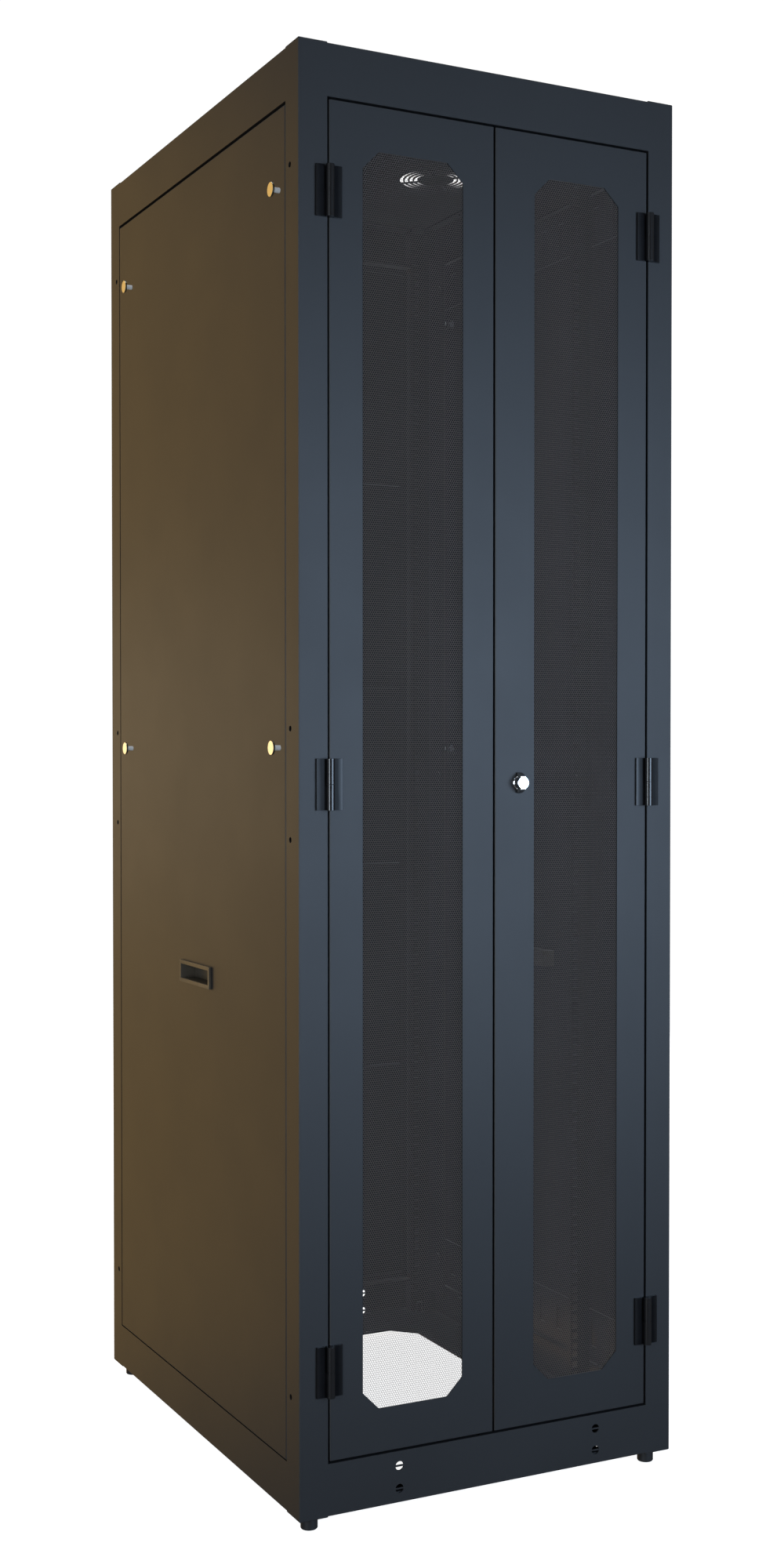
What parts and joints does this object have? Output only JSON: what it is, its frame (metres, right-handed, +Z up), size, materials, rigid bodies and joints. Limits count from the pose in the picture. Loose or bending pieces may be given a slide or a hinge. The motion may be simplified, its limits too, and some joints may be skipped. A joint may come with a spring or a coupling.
{
  "type": "network server rack cabinet",
  "caption": "Tall enclosed rack cabinet with split perforated front doors, a solid rear door, lift-off side panels and square-hole mounting rails inside.",
  "frame": {"origin": "on the floor, at the centre of the plan", "axes": "+X to the right seen from the front, +Y from the front to the back, +Z up"},
  "size_m": [0.638, 0.813, 2.0349],
  "materials": {
    "frame_coat": "satin near-black textured powder coat",
    "door_coat": "satin near-black textured powder coat",
    "mesh_coat": "satin near-black powder coat on perforated sheet",
    "panel_coat": "satin near-black textured powder coat",
    "cup_plastic": "black moulded plastic, light grain",
    "hinge_coat": "semi-gloss black",
    "screw_black": "black zinc",
    "rack_coat": "satin near-black textured powder coat",
    "zinc_hardware": "bright zinc plate",
    "knob_chrome": "polished chrome plate",
    "thumb_chrome": "polished nickel plate",
    "foot_black": "black, matt"
  },
  "bodies": {
    "frame": {"post_front_left": "frame_coat", "post_front_right": "frame_coat", "post_rear_left": "frame_coat", "post_rear_right": "frame_coat", "rail_top_front": "frame_coat", "rail_top_rear": "frame_coat", "rail_top_left": "frame_coat", "rail_top_right": "frame_coat", "rail_bottom_front": "frame_coat", "rail_bottom_rear": "frame_coat", "rail_bottom_left": "frame_coat", "rail_bottom_right": "frame_coat", "roof_panel": "frame_coat", "floor_pan": "frame_coat", "sheet_screws": "screw_black", "rack_rail_front_left": "rack_coat", "rack_rail_front_right": "rack_coat", "rack_rail_rear_left": "rack_coat", "rack_rail_rear_right": "rack_coat", "depth_braces": "frame_coat", "rail_bolts": "zinc_hardware", "rail_nuts": "zinc_hardware", "keepers": "frame_coat", "foot_lock_nuts": "zinc_hardware", "hinge_frame_plates": "hinge_coat", "hinge_pins": "zinc_hardware"},
    "front_door_left": {"left_leaf": "door_coat", "left_mesh": "mesh_coat", "left_hinge_plates": "hinge_coat", "flush_bolt_guides": "zinc_hardware"},
    "bolt_top": {"flush_bolt_top": "zinc_hardware"},
    "bolt_bottom": {"flush_bolt_bottom": "zinc_hardware"},
    "front_door_right": {"right_leaf": "door_coat", "right_mesh": "mesh_coat", "right_hinge_plates": "hinge_coat", "latch_collar_front": "knob_chrome"},
    "front_latch": {"latch_knob_front": "knob_chrome", "latch_cam_front": "zinc_hardware"},
    "back_door": {"rear_door": "door_coat", "rear_stiffeners": "door_coat", "rear_hinge_plates": "hinge_coat", "latch_collar_rear": "knob_chrome"},
    "back_latch": {"latch_knob_rear": "knob_chrome", "latch_cam_rear": "zinc_hardware"},
    "panel_left": {"side_panel_left": "panel_coat", "pull_cup_left": "cup_plastic"},
    "panel_right": {"side_panel_right": "panel_coat", "pull_cup_right": "cup_plastic"},
    "thumb_screw_left_1": {"thumb_screw_left_1": "thumb_chrome"},
    "thumb_screw_left_2": {"thumb_screw_left_2": "thumb_chrome"},
    "thumb_screw_left_3": {"thumb_screw_left_3": "thumb_chrome"},
    "thumb_screw_left_4": {"thumb_screw_left_4": "thumb_chrome"},
    "thumb_screw_right_1": {"thumb_screw_right_1": "thumb_chrome"},
    "thumb_screw_right_2": {"thumb_screw_right_2": "thumb_chrome"},
    "thumb_screw_right_3": {"thumb_screw_right_3": "thumb_chrome"},
    "thumb_screw_right_4": {"thumb_screw_right_4": "thumb_chrome"},
    "foot_front_left": {"foot_front_left": "foot_black"},
    "foot_front_right": {"foot_front_right": "foot_black"},
    "foot_rear_left": {"foot_rear_left": "foot_black"},
    "foot_rear_right": {"foot_rear_right": "foot_black"}
  },
  "joints": [
    {"name": "front_door_left_swing", "type": "hinge", "parent": "frame", "child": "front_door_left", "pos_m": [-0.2605, -0.3992, 1.02745], "axis": [0, 0, -1], "range_deg": [0, 180]},
    {"name": "front_door_right_swing", "type": "hinge", "parent": "frame", "child": "front_door_right", "pos_m": [0.2605, -0.3992, 1.02745], "axis": [0, 0, 1], "range_deg": [0, 180]},
    {"name": "back_door_swing", "type": "hinge", "parent": "frame", "child": "back_door", "pos_m": [0.2605, 0.3992, 1.02745], "axis": [0, 0, -1], "range_deg": [0, 180]},
    {"name": "front_latch_turn", "type": "hinge", "parent": "front_door_right", "child": "front_latch", "pos_m": [0.0406, -0.393, 1.02745], "axis": [0, -1, 0], "range_deg": [0, 90]},
    {"name": "back_latch_turn", "type": "hinge", "parent": "back_door", "child": "back_latch", "pos_m": [-0.22685, 0.393, 1.02745], "axis": [0, -1, 0], "range_deg": [0, 90]},
    {"name": "bolt_top_slide", "type": "slide", "parent": "front_door_left", "child": "bolt_top", "axis": [0, 0, 1], "range_m": [0, 0.014]},
    {"name": "bolt_bottom_slide", "type": "slide", "parent": "front_door_left", "child": "bolt_bottom", "axis": [0, 0, -1], "range_m": [0, 0.014]},
    {"name": "panel_left_lift_off", "type": "slide", "parent": "frame", "child": "panel_left", "axis": [-1, 0, 0], "range_m": [0, 0.3]},
    {"name": "panel_right_lift_off", "type": "slide", "parent": "frame", "child": "panel_right", "axis": [1, 0, 0], "range_m": [0, 0.3]},
    {"name": "thumb_screw_left_1_turn", "type": "hinge", "parent": "panel_left", "child": "thumb_screw_left_1", "pos_m": [-0.305, -0.3285, 1.07745], "axis": [-1, 0, 0], "continuous": true},
    {"name": "thumb_screw_left_2_turn", "type": "hinge", "parent": "panel_left", "child": "thumb_screw_left_2", "pos_m": [-0.305, -0.3285, 1.8444], "axis": [-1, 0, 0], "continuous": true},
    {"name": "thumb_screw_left_3_turn", "type": "hinge", "parent": "panel_left", "child": "thumb_screw_left_3", "pos_m": [-0.305, 0.287, 1.07745], "axis": [-1, 0, 0], "continuous": true},
    {"name": "thumb_screw_left_4_turn", "type": "hinge", "parent": "panel_left", "child": "thumb_screw_left_4", "pos_m": [-0.305, 0.287, 1.8444], "axis": [-1, 0, 0], "continuous": true},
    {"name": "thumb_screw_right_1_turn", "type": "hinge", "parent": "panel_right", "child": "thumb_screw_right_1", "pos_m": [0.305, -0.3285, 1.07745], "axis": [1, 0, 0], "continuous": true},
    {"name": "thumb_screw_right_2_turn", "type": "hinge", "parent": "panel_right", "child": "thumb_screw_right_2", "pos_m": [0.305, -0.3285, 1.8444], "axis": [1, 0, 0], "continuous": true},
    {"name": "thumb_screw_right_3_turn", "type": "hinge", "parent": "panel_right", "child": "thumb_screw_right_3", "pos_m": [0.305, 0.287, 1.07745], "axis": [1, 0, 0], "continuous": true},
    {"name": "thumb_screw_right_4_turn", "type": "hinge", "parent": "panel_right", "child": "thumb_screw_right_4", "pos_m": [0.305, 0.287, 1.8444], "axis": [1, 0, 0], "continuous": true},
    {"name": "foot_front_left_turn", "type": "hinge", "parent": "frame", "child": "foot_front_left", "pos_m": [-0.279, -0.367, 0.02], "axis": [0, 0, 1], "continuous": true},
    {"name": "foot_front_right_turn", "type": "hinge", "parent": "frame", "child": "foot_front_right", "pos_m": [0.279, -0.367, 0.02], "axis": [0, 0, 1], "continuous": true},
    {"name": "foot_rear_left_turn", "type": "hinge", "parent": "frame", "child": "foot_rear_left", "pos_m": [-0.279, 0.367, 0.02], "axis": [0, 0, 1], "continuous": true},
    {"name": "foot_rear_right_turn", "type": "hinge", "parent": "frame", "child": "foot_rear_right", "pos_m": [0.279, 0.367, 0.02], "axis": [0, 0, 1], "continuous": true}
  ]
}
